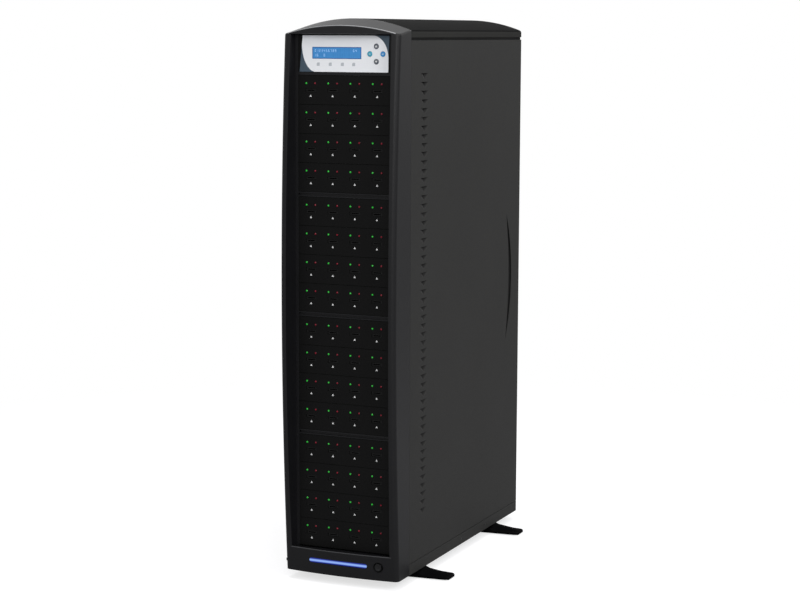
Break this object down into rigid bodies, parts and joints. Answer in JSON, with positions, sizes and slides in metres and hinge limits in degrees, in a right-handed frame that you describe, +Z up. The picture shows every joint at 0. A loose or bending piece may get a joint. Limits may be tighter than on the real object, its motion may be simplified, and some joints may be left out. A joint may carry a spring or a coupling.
{
  "type": "memory card duplicator",
  "caption": "Tower memory card duplicator: arched steel case, bowed front bezel, keypad panel, rows of card slots with lights, louvred side panels and swing-out feet.",
  "frame": {"origin": "centre of the overall box at floor level", "axes": "+X to the right of the front, +Y to the rear, +Z up; the front with the card slots faces -Y"},
  "size_m": [0.274, 0.5122, 0.8328],
  "materials": {
    "bezel_plastic": "satin moulded plastic",
    "panel_plastic": "fine matt plastic",
    "satin_steel": "satin black powder coat",
    "screw_steel": "blackened steel",
    "zinc_steel": "zinc-plated sheet",
    "overlay": "printed overlay",
    "display": "blue display window",
    "board": "circuit board",
    "cable": "flat cable",
    "green_light": "lit green light pipe",
    "red_light": "unlit red light pipe",
    "key_dark": "dark grey key",
    "key_teal": "teal key",
    "key_blue": "blue key",
    "blue_light": "lit blue diffuser",
    "button_plastic": "dark grey button",
    "black_plastic": "black plastic",
    "foot_plastic": "matt moulded plastic",
    "pad_rubber": "matt rubber"
  },
  "bodies": {
    "case": {"front_bezel": "bezel_plastic", "top_cover": "satin_steel", "base_pan": "satin_steel", "front_frame": "zinc_steel", "bay_rail_left": "zinc_steel", "bay_rail_right": "zinc_steel", "chassis_top": "zinc_steel", "rear_panel": "zinc_steel", "lcd_faceplate": "overlay", "lcd_window": "display", "lcd_module": "board", "controller_board": "board", "slot_panel_01": "panel_plastic", "slot_panel_02": "panel_plastic", "slot_panel_03": "panel_plastic", "slot_panel_04": "panel_plastic", "slot_panel_05": "panel_plastic", "slot_panel_06": "panel_plastic", "slot_panel_07": "panel_plastic", "slot_panel_08": "panel_plastic", "slot_panel_09": "panel_plastic", "slot_panel_10": "panel_plastic", "slot_panel_11": "panel_plastic", "slot_panel_12": "panel_plastic", "slot_panel_13": "panel_plastic", "slot_panel_14": "panel_plastic", "slot_panel_15": "panel_plastic", "slot_panel_16": "panel_plastic", "reader_boards": "board", "card_sockets": "panel_plastic", "leds_green": "green_light", "leds_red": "red_light", "ribbon_cable": "cable", "light_bar": "blue_light", "power_button_ring": "bezel_plastic", "front_board": "board", "power_supply": "zinc_steel", "power_inlet": "black_plastic", "exhaust_fan_frame": "black_plastic", "foot_pivots": "zinc_steel"},
    "left_panel": {"left_side_panel": "satin_steel", "thumb_screws_left": "screw_steel"},
    "right_panel": {"right_side_panel": "satin_steel", "thumb_screws_right": "screw_steel"},
    "foot_fl": {"foot_front_left": "foot_plastic", "foot_pad_front_left": "pad_rubber"},
    "foot_fr": {"foot_front_right": "foot_plastic", "foot_pad_front_right": "pad_rubber"},
    "foot_rl": {"foot_rear_left": "foot_plastic", "foot_pad_rear_left": "pad_rubber"},
    "foot_rr": {"foot_rear_right": "foot_plastic", "foot_pad_rear_right": "pad_rubber"},
    "key_up_body": {"key_up": "key_dark"},
    "key_down_body": {"key_down": "key_dark"},
    "key_left_body": {"key_left": "key_teal"},
    "key_right_body": {"key_right": "key_blue"},
    "power_button_body": {"power_button": "button_plastic"},
    "rocker_body": {"rocker_switch": "black_plastic"},
    "psu_fan_body": {"psu_fan_rotor": "black_plastic"},
    "exhaust_fan_body": {"exhaust_fan_rotor": "black_plastic"}
  },
  "joints": [
    {"name": "left_panel_slide", "type": "slide", "parent": "case", "child": "left_panel", "axis": [0, 1, 0], "range_m": [0, 0.018]},
    {"name": "right_panel_slide", "type": "slide", "parent": "case", "child": "right_panel", "axis": [0, 1, 0], "range_m": [0, 0.018]},
    {"name": "foot_fl_swing", "type": "hinge", "parent": "case", "child": "foot_fl", "pos_m": [-0.062, -0.14142, 0.008], "axis": [0, 0, -1], "range_deg": [0, 90]},
    {"name": "foot_fr_swing", "type": "hinge", "parent": "case", "child": "foot_fr", "pos_m": [0.062, -0.14142, 0.008], "axis": [0, 0, 1], "range_deg": [0, 90]},
    {"name": "foot_rl_swing", "type": "hinge", "parent": "case", "child": "foot_rl", "pos_m": [-0.062, 0.15257, 0.008], "axis": [0, 0, 1], "range_deg": [0, 90]},
    {"name": "foot_rr_swing", "type": "hinge", "parent": "case", "child": "foot_rr", "pos_m": [0.062, 0.15257, 0.008], "axis": [0, 0, -1], "range_deg": [0, 90]},
    {"name": "key_up_press", "type": "slide", "parent": "case", "child": "key_up_body", "axis": [0, 1, 0], "range_m": [0, 0.0007], "stiffness_N_per_m": 800, "springref_m": -0.0005},
    {"name": "key_down_press", "type": "slide", "parent": "case", "child": "key_down_body", "axis": [0, 1, 0], "range_m": [0, 0.0007], "stiffness_N_per_m": 800, "springref_m": -0.0005},
    {"name": "key_left_press", "type": "slide", "parent": "case", "child": "key_left_body", "axis": [0, 1, 0], "range_m": [0, 0.0007], "stiffness_N_per_m": 800, "springref_m": -0.0005},
    {"name": "key_right_press", "type": "slide", "parent": "case", "child": "key_right_body", "axis": [0, 1, 0], "range_m": [0, 0.0007], "stiffness_N_per_m": 800, "springref_m": -0.0005},
    {"name": "power_button_press", "type": "slide", "parent": "case", "child": "power_button_body", "axis": [0, 1, 0], "range_m": [0, 0.002], "stiffness_N_per_m": 600, "springref_m": -0.001},
    {"name": "rocker_turn", "type": "hinge", "parent": "case", "child": "rocker_body", "pos_m": [-0.05, 0.24358, 0.7299], "axis": [0, 0, 1], "range_deg": [-18, 0]},
    {"name": "psu_fan_spin", "type": "hinge", "parent": "case", "child": "psu_fan_body", "pos_m": [0.028, 0.232, 0.7509], "axis": [0, 1, 0], "continuous": true},
    {"name": "exhaust_fan_spin", "type": "hinge", "parent": "case", "child": "exhaust_fan_body", "pos_m": [0, 0.232, 0.5619], "axis": [0, 1, 0], "continuous": true}
  ]
}
